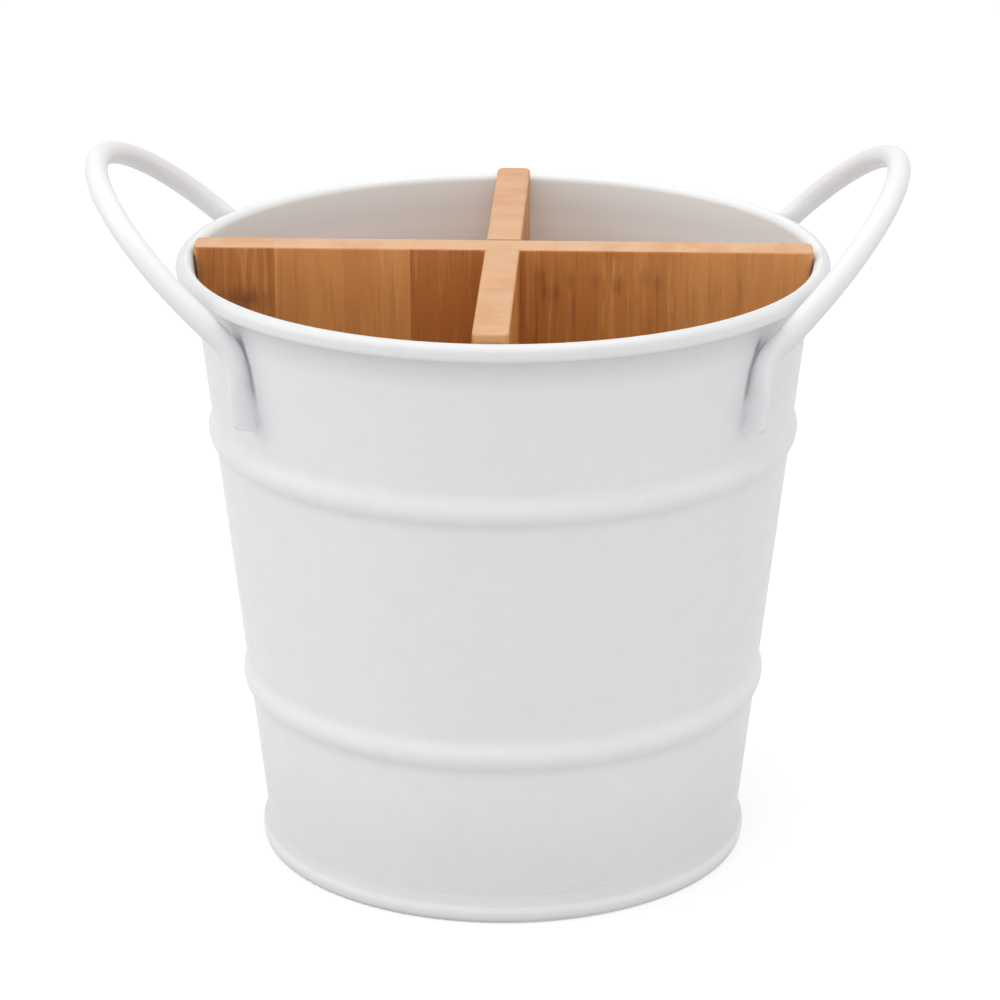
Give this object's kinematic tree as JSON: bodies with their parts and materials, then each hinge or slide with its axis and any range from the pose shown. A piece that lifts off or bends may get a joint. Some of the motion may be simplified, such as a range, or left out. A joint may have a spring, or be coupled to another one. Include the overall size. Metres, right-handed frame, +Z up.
{
  "type": "utensil holder",
  "caption": "Tapered pail with a rolled rim, raised beads and loop handles, divided into compartments by crossed boards that lift out, for standing kitchen utensils upright.",
  "frame": {"origin": "on the floor, on the pail's axis", "axes": "+X through the middle of the right handle, +Y to the back, away from the front, +Z up"},
  "size_m": [0.2125, 0.1698, 0.1885],
  "materials": {
    "coated_steel": "satin",
    "steel_wire": "satin",
    "bamboo": "satin"
  },
  "bodies": {
    "pail": {"pail_body": "coated_steel", "rim_wire": "steel_wire", "base_disc": "coated_steel", "handle_right": "coated_steel", "handle_left": "coated_steel"},
    "divider_lower": {"lower_board": "bamboo"},
    "divider_upper": {"upper_board": "bamboo"}
  },
  "joints": [
    {"name": "divider_lift", "type": "slide", "parent": "pail", "child": "divider_lower", "axis": [0, 0, 1], "range_m": [0, 0.165]},
    {"name": "upper_board_lift", "type": "slide", "parent": "divider_lower", "child": "divider_upper", "axis": [0, 0, 1], "range_m": [0, 0.165]}
  ]
}
